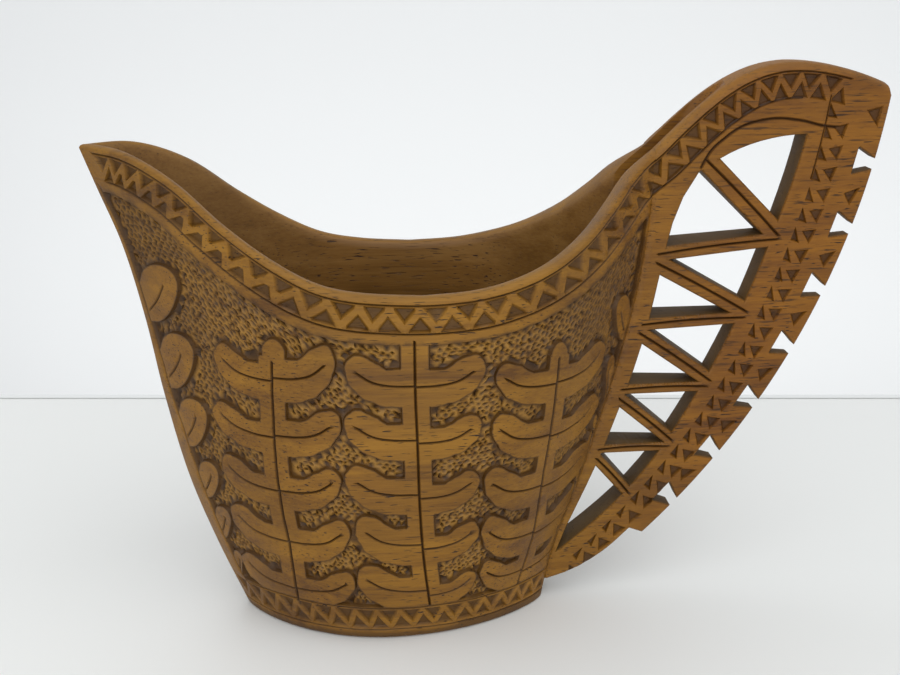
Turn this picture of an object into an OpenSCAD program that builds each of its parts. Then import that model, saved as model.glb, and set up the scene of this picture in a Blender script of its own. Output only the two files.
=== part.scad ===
// Carved kuksa drinking cup: a boat-shaped bowl with a pointed pouring prow, a dipping rim
// and a pierced handle plate. It is carved from one block of wood. The modules follow the
// carver's own divisions of that block, and they meet face to face.
// X runs from prow to handle, Y across the bowl, Z up. The origin is the middle of the foot.

/* [Bowl] */
// Length of the foot along X
foot_length = 78; // [62:1:96]
// Width of the foot across Y
foot_width = 44; // [34:1:54]
// Widest outside width of the mouth
mouth_width = 58.6; // [48:0.2:72]
// Distance from the middle of the foot to the tip of the prow
prow_reach = 73; // [60:1:90]
// Height of the tip of the prow
prow_height = 123; // [105:1:148]
// Height of the lowest place of the rim
waist_height = 91.5; // [76:0.5:104]
// Where the lowest place of the rim lies, as a part of the mouth's length from the prow
waist_place = 0.58; // [0.45:0.01:0.68]
// Distance from the middle of the foot to the stern line at the rim
stern_reach = 64; // [53:1:72]
// Height of the rim at the stern line
stern_height = 120.5; // [112:0.5:126]
// Thickness of the side wall
wall = 4; // [2.5:0.1:6]
// Thickness of wood behind the prow edge
prow_wall = 6; // [4:0.5:10]
// Thickness of wood in front of the stern line
stern_wall = 6; // [4:0.5:9]
// Thickness of the floor
floor_thickness = 7; // [4:0.5:12]
// Radius of the cove that runs from the hollow up the handle
cove_radius = 3.4; // [2.4:0.1:4]
// How far up the back of the arm the cove runs, as a part of the way to the crown
cove_run = 0.55; // [0.4:0.01:0.7]

/* [Handle plate] */
// Distance from the middle of the foot to the outer corner
handle_reach = 123; // [112:1:140]
// Height of the outer corner
corner_height = 134; // [130:0.5:142]
// Height of the crown of the arm
crown_height = 140.7; // [137:0.1:150]
// Distance of the crown of the arm from the middle of the foot
crown_reach = 98; // [92:1:104]
// Radius of the curve through the tips of the teeth
tip_radius = 187.5; // [170:0.5:205]
// Direction of the outer corner, seen from the middle of that curve
corner_angle = -5.6; // [-8:0.1:-3]
// Thickness of the plate at the tips of the middle teeth
edge_thickness = 5; // [4:0.1:8]
// Growth of the thickness for each millimetre towards the bowl
thickness_growth = 0.16; // [0.1:0.01:0.2]
// Lean of the toothed edge from upright, which the taper of the plate follows
plate_lean = 24.4; // [18:0.2:30]

/* [Outer rail] */
// Width of the rail behind the teeth at the top
rail_width_top = 14.5; // [11:0.5:17]
// Width of the rail behind the teeth at the bottom
rail_width_low = 8; // [6:0.5:10]
// Depth of the slots between the teeth
slot_depth = 5; // [3:0.1:6.5]
// Width of a slot at the tips of the teeth
slot_mouth = 2.7; // [1.5:0.1:4]
// Width of a slot at its bottom
slot_bottom = 6.8; // [4:0.1:8]
// Angle between two slots
tooth_pitch = 5.2; // [4.6:0.1:5.4]
// Direction of the first slot
first_slot = -11.3; // [-12:0.1:-11]
// Number of slots
slots = 7; // [5:1:7]

/* [Inner rail and spokes] */
// Width of the inner rail half way up
inner_rail_width = 4.8; // [3.5:0.1:6]
// Width of the first level spoke
level_spoke = 3.6; // [2.8:0.1:4.4]
// Width of the first slanting spoke
slant_spoke = 5.2; // [4:0.1:6]
// Width of a spoke as a part of the one of its kind above it
spoke_ratio = 0.87; // [0.8:0.01:0.95]
// Height of the first spoke joint on the inner rail
joint_height = 93; // [89:0.5:96]
// Drop from that joint to the next one
joint_drop = 18.4; // [16:0.2:19]
// Height of the first spoke joint on the outer rail
far_joint_height = 98.2; // [94:0.2:101]
// Drop from that joint to the next one
far_joint_drop = 20.2; // [18:0.2:21]

/* [Hidden] */

honey = [0.68, 0.46, 0.22];
amber = [0.62, 0.40, 0.18];
chestnut = [0.53, 0.34, 0.16];

// ---- curves ---------------------------------------------------------------------------

function mix(a, b, t) = a + (b - a) * t;

// Smooth curve through points [x, y]: the slope at each point is that of its neighbours
function span(p, x, i = 0) = (i >= len(p) - 2 || x <= p[i + 1][0]) ? i : span(p, x, i + 1);
function slope(p, i) =
    let (a = p[max(i - 1, 0)], b = p[min(i + 1, len(p) - 1)])
    (b[1] - a[1]) / (b[0] - a[0]);
function curve(p, x) =
    let (i = span(p, x), a = p[i], b = p[i + 1], w = b[0] - a[0], t = (x - a[0]) / w)
    a[1] * (1 + 2 * t) * (1 - t) * (1 - t) + b[1] * t * t * (3 - 2 * t)
    + w * slope(p, i) * t * (1 - t) * (1 - t) - w * slope(p, i + 1) * t * t * (1 - t);

function bezier(a, b, c, d, t) =
    a * pow(1 - t, 3) + b * 3 * t * pow(1 - t, 2) + c * 3 * t * t * (1 - t) + d * pow(t, 3);

// ---- lines of the bowl ----------------------------------------------------------------

foot_half = foot_length / 2;

// Flare of the prow from foot to tip, both as parts of the whole
prow_flare = [[0, 0], [0.14, 0.2], [0.3, 0.39], [0.48, 0.53], [0.65, 0.63],
              [0.8, 0.75], [0.92, 0.9], [1, 1]];
function prow_x(z) = -mix(foot_half, prow_reach, curve(prow_flare, z / prow_height));

// Lean of the stern line from foot to rim
stern_flare = [[0, 0], [0.13, 0.13], [0.27, 0.36], [0.42, 0.57], [0.55, 0.74],
               [0.7, 0.89], [0.85, 0.98], [1, 1]];
function stern_x(z) = mix(foot_half, stern_reach, curve(stern_flare, z / stern_height));

// Rise of the rim from its lowest place towards the prow and towards the stern
prow_rise = [[0, 0], [0.17, 0.03], [0.3, 0.1], [0.43, 0.27], [0.56, 0.5],
             [0.7, 0.79], [0.85, 0.97], [1, 1]];
stern_rise = [[0, 0], [0.22, 0.03], [0.4, 0.11], [0.54, 0.22], [0.68, 0.4],
              [0.79, 0.61], [0.88, 0.81], [1, 1]];
function rim_z(t) = t < waist_place
    ? mix(waist_height, prow_height, curve(prow_rise, 1 - t / waist_place))
    : mix(waist_height, stern_height, curve(stern_rise, (t - waist_place) / (1 - waist_place)));

// Swell of the side from foot (0) to rim (1)
side_swell = [[0, 0], [0.08, 0.36], [0.2, 0.66], [0.4, 0.93], [0.6, 1.04], [0.8, 1.04], [1, 1]];
function side_half(s) = mix(foot_width, mouth_width, curve(side_swell, s)) / 2;

// Plan of a level: sharp at the prow, full at the stern, ending at half-thickness h
plan_peak = 0.48;
function plan_half(t, s, half, h) = t < plan_peak
    ? half * pow(1 - pow(1 - t / plan_peak, 2), mix(0.75, 1, s))
    : h + (half - h) * pow(1 - pow((t - plan_peak) / (1 - plan_peak), mix(2, 4, s)),
                           mix(0.8, 1.4, s));

// Places along a level, closer together at both ends
steps = 24;
function place(j) = (1 - cos(180 * j / steps)) / 2;

levels = 18;
function level(i) = i / levels;

// ---- thickness of the handle plate ------------------------------------------------------

tip_centre = [handle_reach - tip_radius * cos(corner_angle),
              corner_height - tip_radius * sin(corner_angle)];
function polar(r, a) = tip_centre + r * [cos(a), sin(a)];

// The plate is a wedge: it is thinnest along a line that leans with the teeth
corner_point = polar(tip_radius, corner_angle);
thin_line = 6;                    // distance of that line outside the outer corner
function inward(p) = (corner_point - p) * [cos(plate_lean), -sin(plate_lean)];
function wedge_half(way) = (edge_thickness + thickness_growth * (way + thin_line)) / 2;

stern_points = [for (i = [0:levels]) let (z = stern_height * level(i)) [stern_x(z), z]];

// ---- the bowl ---------------------------------------------------------------------------

function outer_point(j, i, side) =
    let (t = place(j), s = level(i))
    [mix(prow_x(prow_height * s), stern_points[i][0], t),
     side * plan_half(t, s, side_half(s), wedge_half(inward(stern_points[i]))),
     rim_z(t) * s];

// The hollow keeps the thickness of the walls and rounds in towards its floor
hollow_levels = [1, 0.9, 0.8, 0.7, 0.6, 0.5, 0.4, 0.32, 0.24, 0.18, 0.12, 0.07, 0.03, 0];
hollow_round = 0.24;              // part of the depth that the rounding takes
hollow_tuck = 9;                  // how far the rounding brings both ends in
hollow_end = 2.2;                 // half-width of the hollow at the stern wall
function inner_point(j, q, side) =
    let (t = place(j),
         z_prow = mix(floor_thickness, prow_height, q),
         z_stern = mix(floor_thickness, stern_height, q),
         tuck = q < hollow_round ? pow(1 - q / hollow_round, 2) : 0,
         x_prow = prow_x(z_prow) + prow_wall * mix(1.9, 0.75, q) + hollow_tuck * tuck,
         x_stern = stern_x(z_stern) - stern_wall - hollow_tuck * tuck,
         s = z_prow / prow_height,
         half = (side_half(s) - wall) * (1 - 0.34 * tuck),
         x = mix(x_prow, x_stern, t),
         rim_place = (x + prow_reach) / (prow_reach + stern_reach))
    [x, side * plan_half(t, s, half, hollow_end), mix(floor_thickness, rim_z(rim_place), q)];

// A ring runs from the prow along one side to the stern and back along the other
ring_count = 2 * steps + 1;
function outer_ring(i) = [for (j = [-steps:steps])
    outer_point(abs(j), i, j < 0 ? 1 : -1)];
function inner_ring(q) = [for (j = [-steps:steps])
    inner_point(abs(j), q, j < 0 ? 1 : -1)];

module bowl_blank() {
    rings = concat([for (i = [0:levels]) outer_ring(i)], [for (q = hollow_levels) inner_ring(q)]);
    last = len(rings) - 1;
    under = [for (j = [0:ring_count - 1]) j];
    inside_floor = [for (j = [ring_count - 1:-1:0]) last * ring_count + j];
    skin = [for (i = [0:last - 1]) for (j = [0:ring_count - 1])
        let (a = i * ring_count + j, b = i * ring_count + (j + 1) % ring_count)
        for (tri = [[a, a + ring_count, b], [b, a + ring_count, b + ring_count]]) tri];
    polyhedron([for (r = rings) for (p = r) p], concat([under], skin, [inside_floor]));
}

// Cove that leads from the hollow up on to the arm, and runs out there
cove_lean = 58.5;                 // steepness of the bottom of the cove
cove_depth = 48;                  // how far the cutter reaches down into the hollow
module cove() {
    end = arm_back(cove_run);
    translate([end[0], 0, end[1]])
        rotate([0, 90 - cove_lean, 0])
            translate([0, 0, -cove_depth]) {
                translate([-cove_radius, 0, 0])
                    cylinder(h = cove_depth + 30, r = cove_radius, $fn = 64);
                translate([-cove_radius - 20, -cove_radius, 0])
                    cube([20, 2 * cove_radius, cove_depth + 30]);
            }
}

// ---- outlines of the handle, in the X-Z plane -------------------------------------------

arc_steps = 14;
crown = [crown_reach, crown_height];
back_pull = [11, 11];             // direction in which the arm leaves the rim
function arm_back(t) = let (start = [stern_reach, stern_height])
    bezier(start, start + back_pull, crown - [14, 0], crown, t);
nose_round = 1.6;                 // rounding of the outer corner
function arm_nose(t) = bezier(crown, crown + [8, 0],
    corner_point + [-8, 4.2], corner_point + [-nose_round, nose_round], t);

// Inner rail: it grows from the foot to its top, where it spreads under the arm
rail_top_z = 115;
rail_spread = [[0, 0.2], [0.1, 0.26], [0.25, 0.5], [0.38, 0.78], [0.6, 1],
               [0.84, 1.1], [0.93, 1.5], [1, 2.4]];
function inner_rail_x(z) = stern_x(z) + inner_rail_width * curve(rail_spread, z / rail_top_z);
inner_edge = [for (i = [0:16]) let (z = mix(rail_top_z, stern_points[2][1], i / 16))
    [inner_rail_x(z), z]];

// Outer rail: its edges are given by their distance from the centre of the tip curve
slot_radius = tip_radius - slot_depth;
rail_top_angle = -9.9;
rail_foot = inner_edge[16];
rail_end_angle = atan2(rail_foot[1] - tip_centre[1], rail_foot[0] - tip_centre[0]);
rail_narrowing = [[0, 0], [0.23, 0], [0.53, 0.45], [0.78, 1], [1, 1.1]];
function rail_inner_r(a) = slot_radius - mix(rail_width_top, rail_width_low,
    curve(rail_narrowing, (rail_top_angle - a) / (rail_top_angle - rail_end_angle)));
outer_edge = [for (i = [1:24]) let (a = mix(rail_end_angle, rail_top_angle, i / 24))
    polar(rail_inner_r(a), a)];

// Below the last tooth the outer rail runs on in a tail to the foot
tail_start = -46.6;
tail_end = -56;
tail_curve = [[0, 1.4], [0.3, 1.5], [0.6, 0.3], [0.85, -2.2], [1, -4]];
function tail(k) = let (a = mix(tail_start, tail_end, k))
    polar(slot_radius + curve(tail_curve, k), a);

// Underside of the arm, from the outer rail to the first spoke
spoke_seat = [5.3, 3.1];          // width of the place where the first spoke leaves the arm
belly_low = inner_edge[0] + spoke_seat;
belly_high = outer_edge[23];
arm_belly = [for (i = [0:8])
    bezier(belly_high, belly_high - [8, 0], belly_low + spoke_seat, belly_low, i / 8)];

module tooth_slots() {
    bottom = slot_bottom / 2 / slot_radius * 180 / PI;
    mouth = slot_mouth / 2 / tip_radius * 180 / PI;
    flare = 1 - (bottom / mouth - 1) * 0.4;
    for (k = [0:slots - 1])
        let (a = first_slot - k * tooth_pitch)
        polygon([polar(tip_radius + 0.4 * slot_depth, a + mouth * flare),
                 polar(slot_radius, a + bottom),
                 polar(slot_radius, a - bottom),
                 polar(tip_radius + 0.4 * slot_depth, a - mouth * flare)]);
}

// Everything on the bowl's side of the stern line
module bowl_side() {
    polygon(concat([[-10, -20], [foot_half, -20]], stern_points,
                   [[stern_reach, crown_height + 20], [-10, crown_height + 20]]));
}

module arm_outline() {
    difference() {
        polygon(concat(
            [for (i = [0:arc_steps]) arm_back(i / arc_steps)],
            [for (i = [1:arc_steps]) arm_nose(i / arc_steps)],
            [for (i = [0:4]) polar(tip_radius, mix(corner_angle - 0.5, first_slot, i / 4))],
            [polar(slot_radius, first_slot)],
            arm_belly,
            [inner_edge[0], stern_points[levels - 2], [stern_reach - 10, stern_height - 10],
             [stern_reach - 10, stern_height]]));
        tooth_slots();
        bowl_side();
    }
}

module inner_rail_outline() {
    difference() {
        polygon(concat([stern_points[levels - 2]], inner_edge,
                       [stern_points[2] - [10, 0], stern_points[levels - 2] - [30, 0]]));
        bowl_side();
    }
}

module outer_rail_outline() {
    tips = 28;
    difference() {
        polygon(concat(
            [for (i = [0:tips]) polar(tip_radius, mix(first_slot, tail_start + 0.5, i / tips))],
            [for (i = [0:8]) tail(i / 8)],
            [stern_points[1] - [10, 0], stern_points[2] - [10, 0], stern_points[2], rail_foot],
            outer_edge,
            [polar(slot_radius, first_slot)]));
        tooth_slots();
        bowl_side();
    }
}

// The field between the rails, which the spokes cross
module web_field() {
    polygon(concat(inner_edge, outer_edge, arm_belly));
}

// ---- spokes -----------------------------------------------------------------------------

joint_closing = 0.5;              // how quickly the joints draw together towards the foot
far_closing = 0.95;
function joint_z(m) = joint_height - (joint_drop + joint_closing) * m + joint_closing * m * m;
function far_joint_z(m) = far_joint_height - (far_joint_drop + far_closing) * m
    + far_closing * m * m;
joint_gap = 1.6;                  // a level spoke leaves this far above its joint
far_gap = 1.2;                    // and reaches the outer rail this far below its joint

function near_end(z) = [inner_rail_x(z), z];
function far_end(z) =
    let (r = rail_inner_r(asin((z - tip_centre[1]) / (slot_radius - rail_width_top))),
         a = asin((z - tip_centre[1]) / r))
    [polar(rail_inner_r(a), a)[0], z];

module strip(from, to, width) {
    way = (to - from) / norm(to - from);
    side = [-way[1], way[0]] * width / 2;
    polygon([from - 8 * way - side, to + 8 * way - side, to + 8 * way + side, from - 8 * way + side]);
}

module level_strip(m) {
    strip(near_end(joint_z(m) + joint_gap), far_end(far_joint_z(m) - far_gap),
          level_spoke * pow(spoke_ratio, m));
}

module slant_strip(m) {
    start = m == 0 ? (inner_edge[0] + belly_low) / 2 : near_end(joint_z(m - 1) - joint_gap);
    strip(start, far_end(far_joint_z(m) + far_gap), slant_spoke * pow(spoke_ratio, m));
}

// Odd spokes slant and even ones are level; a slanting spoke stops at the level ones
module spoke_outline(n) {
    m = floor((n - 1) / 2);
    intersection() {
        web_field();
        if (n % 2 == 0)
            level_strip(m);
        else
            difference() {
                slant_strip(m);
                for (k = [max(m - 1, 0):min(m, 3)])
                    level_strip(k);
            }
    }
}

// ---- solids of the handle ---------------------------------------------------------------

far_inward = 110;
module plate_wedge() {
    translate([corner_point[0], 0, corner_point[1]])
        rotate([0, plate_lean, 0])
            translate([0, 0, -200])
                linear_extrude(400)
                    polygon([[2 * thin_line, -wedge_half(-2 * thin_line)],
                             [2 * thin_line, wedge_half(-2 * thin_line)],
                             [-far_inward, wedge_half(far_inward)],
                             [-far_inward, -wedge_half(far_inward)]]);
}

module plate() {
    intersection() {
        translate([0, 20, 0])
            rotate([90, 0, 0])
                linear_extrude(40)
                    children();
        plate_wedge();
    }
}

module bowl() {
    color(honey)
        difference() {
            bowl_blank();
            cove();
        }
}

module handle_top_arm() {
    color(amber)
        difference() {
            plate() arm_outline();
            cove();
        }
}

module handle_inner_rail() {
    color(chestnut)
        plate() inner_rail_outline();
}

module handle_outer_rail() {
    color(amber)
        plate() outer_rail_outline();
}

module spoke(n) {
    color(n % 2 == 0 ? honey : chestnut)
        plate() spoke_outline(n);
}

bowl();
handle_top_arm();
handle_inner_rail();
handle_outer_rail();
spoke(1);  // spoke_1
spoke(2);  // spoke_2
spoke(3);  // spoke_3
spoke(4);  // spoke_4
spoke(5);  // spoke_5
spoke(6);  // spoke_6
spoke(7);  // spoke_7
spoke(8);  // spoke_8
spoke(9);  // spoke_9
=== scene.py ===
import math
import bpy
import bmesh
import numpy as np
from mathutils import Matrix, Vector
from mathutils.kdtree import KDTree
from mathutils.geometry import delaunay_2d_cdt


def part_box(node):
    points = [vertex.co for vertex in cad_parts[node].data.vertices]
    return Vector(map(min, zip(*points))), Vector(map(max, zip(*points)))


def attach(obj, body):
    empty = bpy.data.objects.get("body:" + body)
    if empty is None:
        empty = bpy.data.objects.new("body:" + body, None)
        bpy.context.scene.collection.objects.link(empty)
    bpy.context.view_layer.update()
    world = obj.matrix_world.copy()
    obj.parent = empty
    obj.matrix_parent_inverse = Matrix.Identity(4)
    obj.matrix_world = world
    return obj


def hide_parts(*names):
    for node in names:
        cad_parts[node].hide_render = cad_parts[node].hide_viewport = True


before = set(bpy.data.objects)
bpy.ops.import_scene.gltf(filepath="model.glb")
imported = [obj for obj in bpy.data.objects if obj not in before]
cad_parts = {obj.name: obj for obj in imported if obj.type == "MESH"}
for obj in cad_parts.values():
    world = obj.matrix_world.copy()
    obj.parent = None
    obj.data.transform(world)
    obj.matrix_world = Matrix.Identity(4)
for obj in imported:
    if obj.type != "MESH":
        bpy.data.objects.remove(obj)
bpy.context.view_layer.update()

mm = 0.001
dice = np.random.default_rng(11)


def mix(a, b, t):
    return a + (b - a) * t


def through(points, x):
    # smooth curve through points (x, y); the slope at a point is that of its neighbours
    p = np.asarray(points, float)
    px, py, last = p[:, 0], p[:, 1], len(p) - 1
    before, after = np.maximum(np.arange(last + 1) - 1, 0), np.minimum(np.arange(last + 1) + 1, last)
    slope = (py[after] - py[before]) / (px[after] - px[before])
    x = np.clip(x, px[0], px[-1])
    i = np.clip(np.searchsorted(px, x) - 1, 0, last - 1)
    w = px[i + 1] - px[i]
    t = (x - px[i]) / w
    return (py[i] * (1 + 2 * t) * (1 - t) ** 2 + py[i + 1] * t * t * (3 - 2 * t)
            + w * slope[i] * t * (1 - t) ** 2 - w * slope[i + 1] * t * t * (1 - t))


def bezier(a, b, c, d, t):
    a, b, c, d = (np.asarray(v, float) for v in (a, b, c, d))
    t = np.asarray(t, float)[:, None]
    return a * (1 - t) ** 3 + b * 3 * t * (1 - t) ** 2 + c * 3 * t * t * (1 - t) + d * t ** 3


# the bowl's own lines, in mm, as the solid has them; x runs from prow to handle, z is up
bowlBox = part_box("bowl")
bowlForm = {
    "prowReach": -bowlBox[0][0] / mm,
    "prowHeight": bowlBox[1][2] / mm,
    "sternReach": bowlBox[1][0] / mm,
    "sternHeight": 120.5,
    "footHalf": 39,
    "footWidth": 44,
    "mouthWidth": 58.6,
    "waistHeight": 91.5,
    "waistPlace": 0.58,
    "wall": 4,
    "prowWall": 6,
    "sternWall": 6,
    "floor": 7,
    "widestPlace": 0.48,
    "prowFlare": [(0, 0), (.14, .2), (.3, .39), (.48, .53), (.65, .63), (.8, .75), (.92, .9), (1, 1)],
    "sternFlare": [(0, 0), (.13, .13), (.27, .36), (.42, .57), (.55, .74), (.7, .89), (.85, .98), (1, 1)],
    "prowRise": [(0, 0), (.17, .03), (.3, .1), (.43, .27), (.56, .5), (.7, .79), (.85, .97), (1, 1)],
    "sternRise": [(0, 0), (.22, .03), (.4, .11), (.54, .22), (.68, .4), (.79, .61), (.88, .81), (1, 1)],
    "swell": [(0, 0), (.08, .36), (.2, .66), (.4, .93), (.6, 1.04), (.8, 1.04), (1, 1)],
    "tuckLevel": 0.24,        # the hollow draws in below this level, by tuckReach and tuckShare
    "tuckReach": 9,
    "tuckShare": 0.34,
    "sternHalf": 2.2,         # half width of the hollow where it meets the handle
    "sharpFrom": 42,          # degrees; a gentler bend is shaded smooth
}

# the handle plate: a wedge that is thinnest at the teeth, in mm and degrees
plateForm = {
    "corner": (123.0, 134.0),
    "crown": (98.0, 140.7),
    "tipRadius": 187.5,
    "cornerAngle": -5.6,
    "slotDepth": 5.0,
    "slotMouth": 2.7,
    "slotBottom": 6.8,
    "toothPitch": 5.2,
    "firstSlot": -11.3,
    "slots": 7,
    "railTop": 14.5,
    "railLow": 8.0,
    "innerRail": 4.8,
    "levelSpoke": 3.6,
    "slantSpoke": 5.2,
    "spokeRatio": 0.87,
    "edgeThickness": 5.0,
    "thicknessGrowth": 0.16,
    "lean": 24.4,
    "edgeRound": 0.55,        # hand-rounded edges of the openings and teeth
    "sharpFrom": 38,
}


def prowX(z):
    f = bowlForm
    return -mix(f["footHalf"], f["prowReach"], through(f["prowFlare"], z / f["prowHeight"]))


def sternX(z):
    f = bowlForm
    return mix(f["footHalf"], f["sternReach"], through(f["sternFlare"], z / f["sternHeight"]))


def rimHeight(t):
    f = bowlForm
    w = f["waistPlace"]
    toProw = mix(f["waistHeight"], f["prowHeight"], through(f["prowRise"], 1 - t / w))
    toStern = mix(f["waistHeight"], f["sternHeight"], through(f["sternRise"], (t - w) / (1 - w)))
    return np.where(t < w, toProw, toStern)


def sideHalf(s):
    return mix(bowlForm["footWidth"], bowlForm["mouthWidth"], through(bowlForm["swell"], s)) / 2


def planHalf(t, s, half, h):
    peak = bowlForm["widestPlace"]
    fore = half * np.maximum(1 - (1 - np.minimum(t, peak) / peak) ** 2, 0) ** mix(0.75, 1, s)
    back = np.clip((t - peak) / (1 - peak), 0, 1)
    aft = h + (half - h) * np.maximum(1 - back ** mix(2, 4, s), 0) ** mix(0.8, 1.4, s)
    return np.where(t < peak, fore, aft)


def plateHalf(x, z):
    f = plateForm
    lean = math.radians(f["lean"])
    way = (f["corner"][0] - x) * math.cos(lean) - (f["corner"][1] - z) * math.sin(lean)
    return (f["edgeThickness"] + f["thicknessGrowth"] * (way + 6)) / 2


def outerSkin(t, s):
    # near side of the bowl at place t from prow to stern and level s from foot to rim
    f = bowlForm
    x1, z1 = sternX(f["sternHeight"] * s), f["sternHeight"] * s
    return np.stack([mix(prowX(f["prowHeight"] * s), x1, t),
                     -planHalf(t, s, sideHalf(s), plateHalf(x1, z1)), rimHeight(t) * s], -1)


def placeOf(x):
    # 0 at the prow and 1 at the stern, along the rim
    return (x + bowlForm["prowReach"]) / (bowlForm["prowReach"] + bowlForm["sternReach"])


def innerSkin(t, q):
    # near side of the hollow at place t and level q from its floor to the rim
    f = bowlForm
    zProw, zStern = mix(f["floor"], f["prowHeight"], q), mix(f["floor"], f["sternHeight"], q)
    tuck = np.where(q < f["tuckLevel"], (1 - q / f["tuckLevel"]) ** 2, 0)
    xProw = prowX(zProw) + f["prowWall"] * mix(1.9, 0.75, q) + f["tuckReach"] * tuck
    xStern = sternX(zStern) - f["sternWall"] - f["tuckReach"] * tuck
    s = zProw / f["prowHeight"]
    x = mix(xProw, xStern, t)
    rim = rimHeight(placeOf(x))
    half = (sideHalf(s) - f["wall"]) * (1 - f["tuckShare"] * tuck)
    return np.stack([x, -planHalf(t, s, half, f["sternHalf"]), mix(f["floor"], rim, q)], -1)


def skinNormal(t, s):
    e = 0.003
    along = outerSkin(np.clip(t + e, 0, 1), s) - outerSkin(np.clip(t - e, 0, 1), s)
    up = outerSkin(t, np.clip(s + e, 0, 1)) - outerSkin(t, np.clip(s - e, 0, 1))
    n = np.cross(along, up)
    return n / np.linalg.norm(n, axis=1)[:, None]


# every path below is an array of (x, z) in mm
def evenSteps(path, step, closed=False):
    path = np.asarray(path, float)
    if closed:
        path = np.vstack([path, path[:1]])
    run = np.concatenate([[0], np.cumsum(np.linalg.norm(np.diff(path, axis=0), axis=1))])
    at = np.linspace(0, run[-1], max(int(round(run[-1] / step)), 3 if closed else 1) + 1)
    out = np.column_stack([np.interp(at, run, path[:, k]) for k in (0, 1)])
    return out[:-1] if closed else out


def keepCorners(path, step, closed=False):
    path = np.asarray(path, float)
    ends = np.roll(path, -1, 0) if closed else path[1:]
    out = []
    for a, b in zip(path, ends):
        n = max(int(math.ceil(np.linalg.norm(b - a) / step)), 1)
        out += [mix(a, b, k / n) for k in range(n)]
    if not closed:
        out.append(path[-1])
    return np.array(out)


def flowing(points, step=0.7, closed=False):
    p = np.asarray(points, float)
    p = np.vstack([p[-1:], p, p[:2]]) if closed else np.vstack([2 * p[0] - p[1], p, 2 * p[-1] - p[-2]])
    t = np.linspace(0, 1, 12, endpoint=False)[:, None]
    parts = [0.5 * (2 * b + (c - a) * t + (2 * a - 5 * b + 4 * c - d) * t ** 2
                    + (3 * b - a - 3 * c + d) * t ** 3) for a, b, c, d in zip(p, p[1:], p[2:], p[3:])]
    if not closed:
        parts.append(p[-2:-1])
    return evenSteps(np.vstack(parts), step, closed)


def beside(path, gap, closed=False):
    # the path moved sideways, to its left for a positive gap
    if closed:
        along = np.roll(path, -1, 0) - np.roll(path, 1, 0)
    else:
        along = np.gradient(path, axis=0)
    n = np.column_stack([-along[:, 1], along[:, 0]])
    return path + gap * n / np.maximum(np.linalg.norm(n, axis=1), 1e-9)[:, None]


def turning(path):
    x, z = np.asarray(path).T
    return np.sum(x * np.roll(z, -1) - np.roll(x, -1) * z) / 2


def outside(path, gap):
    return beside(path, -gap if turning(path) > 0 else gap, closed=True)


def inside(spots, path):
    a, b = np.asarray(path), np.roll(path, -1, 0)
    hit = np.zeros(len(spots), bool)
    x, z = spots[:, 0], spots[:, 1]
    for (x0, z0), (x1, z1) in zip(a, b):
        if z0 == z1:
            continue
        cross = ((z0 > z) != (z1 > z)) & (x < (x1 - x0) * (z - z0) / (z1 - z0) + x0)
        hit ^= cross
    return hit


def toEdges(spots, edges, reach):
    # distance from each spot to the nearest of some straight edges, no more than reach
    best = np.full(len(spots), float(reach))
    if not len(spots):
        return best
    lo, hi = spots.min(0) - reach, spots.max(0) + reach
    edges = edges[np.all((edges.max(1) > lo) & (edges.min(1) < hi), axis=1)]
    if not len(edges):
        return best
    lo, hi = edges.min((0, 1)) - reach, edges.max((0, 1)) + reach
    who = np.nonzero(np.all((spots > lo) & (spots < hi), axis=1))[0]
    who = who[np.argsort(spots[who, 0])]
    xs = spots[who, 0]
    for p, q in edges:
        i0, i1 = np.searchsorted(xs, (min(p[0], q[0]) - reach, max(p[0], q[0]) + reach))
        k = who[i0:i1]
        along, off = q - p, spots[k] - p
        f = np.clip(off @ along / max(along @ along, 1e-12), 0, 1)
        best[k] = np.minimum(best[k], np.hypot(*(off - f[:, None] * along).T))
    return best


def distance(spots, path, reach, closed=False):
    path = np.asarray(path, float)
    edges = np.stack([path, np.roll(path, -1, 0)], 1)
    return toEdges(spots, edges if closed else edges[:-1], reach)


# the carving, laid out in side view, in mm; a line is (half its width, its depth)
carving = {
    "groundDepth": 0.9,        # how far the stippled ground lies under the leaves
    "cutSlope": 0.26,          # width of the knife cut round each leaf
    "beadRound": (1.5, 2.7),   # radius of the crest on the bowl and on the arm
    "beadGrows": (62, 84),     # where it grows from one to the other
    "beadGap": 2.0,            # from the crest of the rim to the first engraved line
    "bandGap": 8.7,            # to the line under the zigzag
    "groundGap": 11.2,         # to the lower edge of the smooth border
    "creaseGap": 0.9,          # from the ground to the knife line at the handle
    "rimLine": (0.34, 0.45),
    "bandLine": (0.34, 0.5),
    "footLine": (0.32, 0.45),
    "prowEdgeLine": (0.3, 0.42),
    "vein": (0.42, 0.6),       # down the stem of each tree
    "leafRib": (0.378, 0.54),
    "halfLeafRib": (0.34, 0.42),
    "zigPitch": [(-72, 4.2), (-50, 4.9), (-20, 6.6), (20, 6.8), (45, 5.9), (80, 6.0), (125, 5.4)],
    "footPitch": 7.7,
    "unevenness": 0.05,        # how much the pitch of the hand-cut chips varies
    "pocketDepth": 1.0,
    "footPocketDepth": 0.75,
    "pocketWall": 0.42,        # share of the chip taken by its sloping walls
    "wallShare": 0.86,         # share of its depth that they reach
    "pitStep": (1.75, 0.98),   # one dent of the stippling punch, along and across the grain
    "pitDepth": 0.5,
    "ridgeHeight": 0.16,       # wood that the punch pushes up between its dents
}

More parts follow.
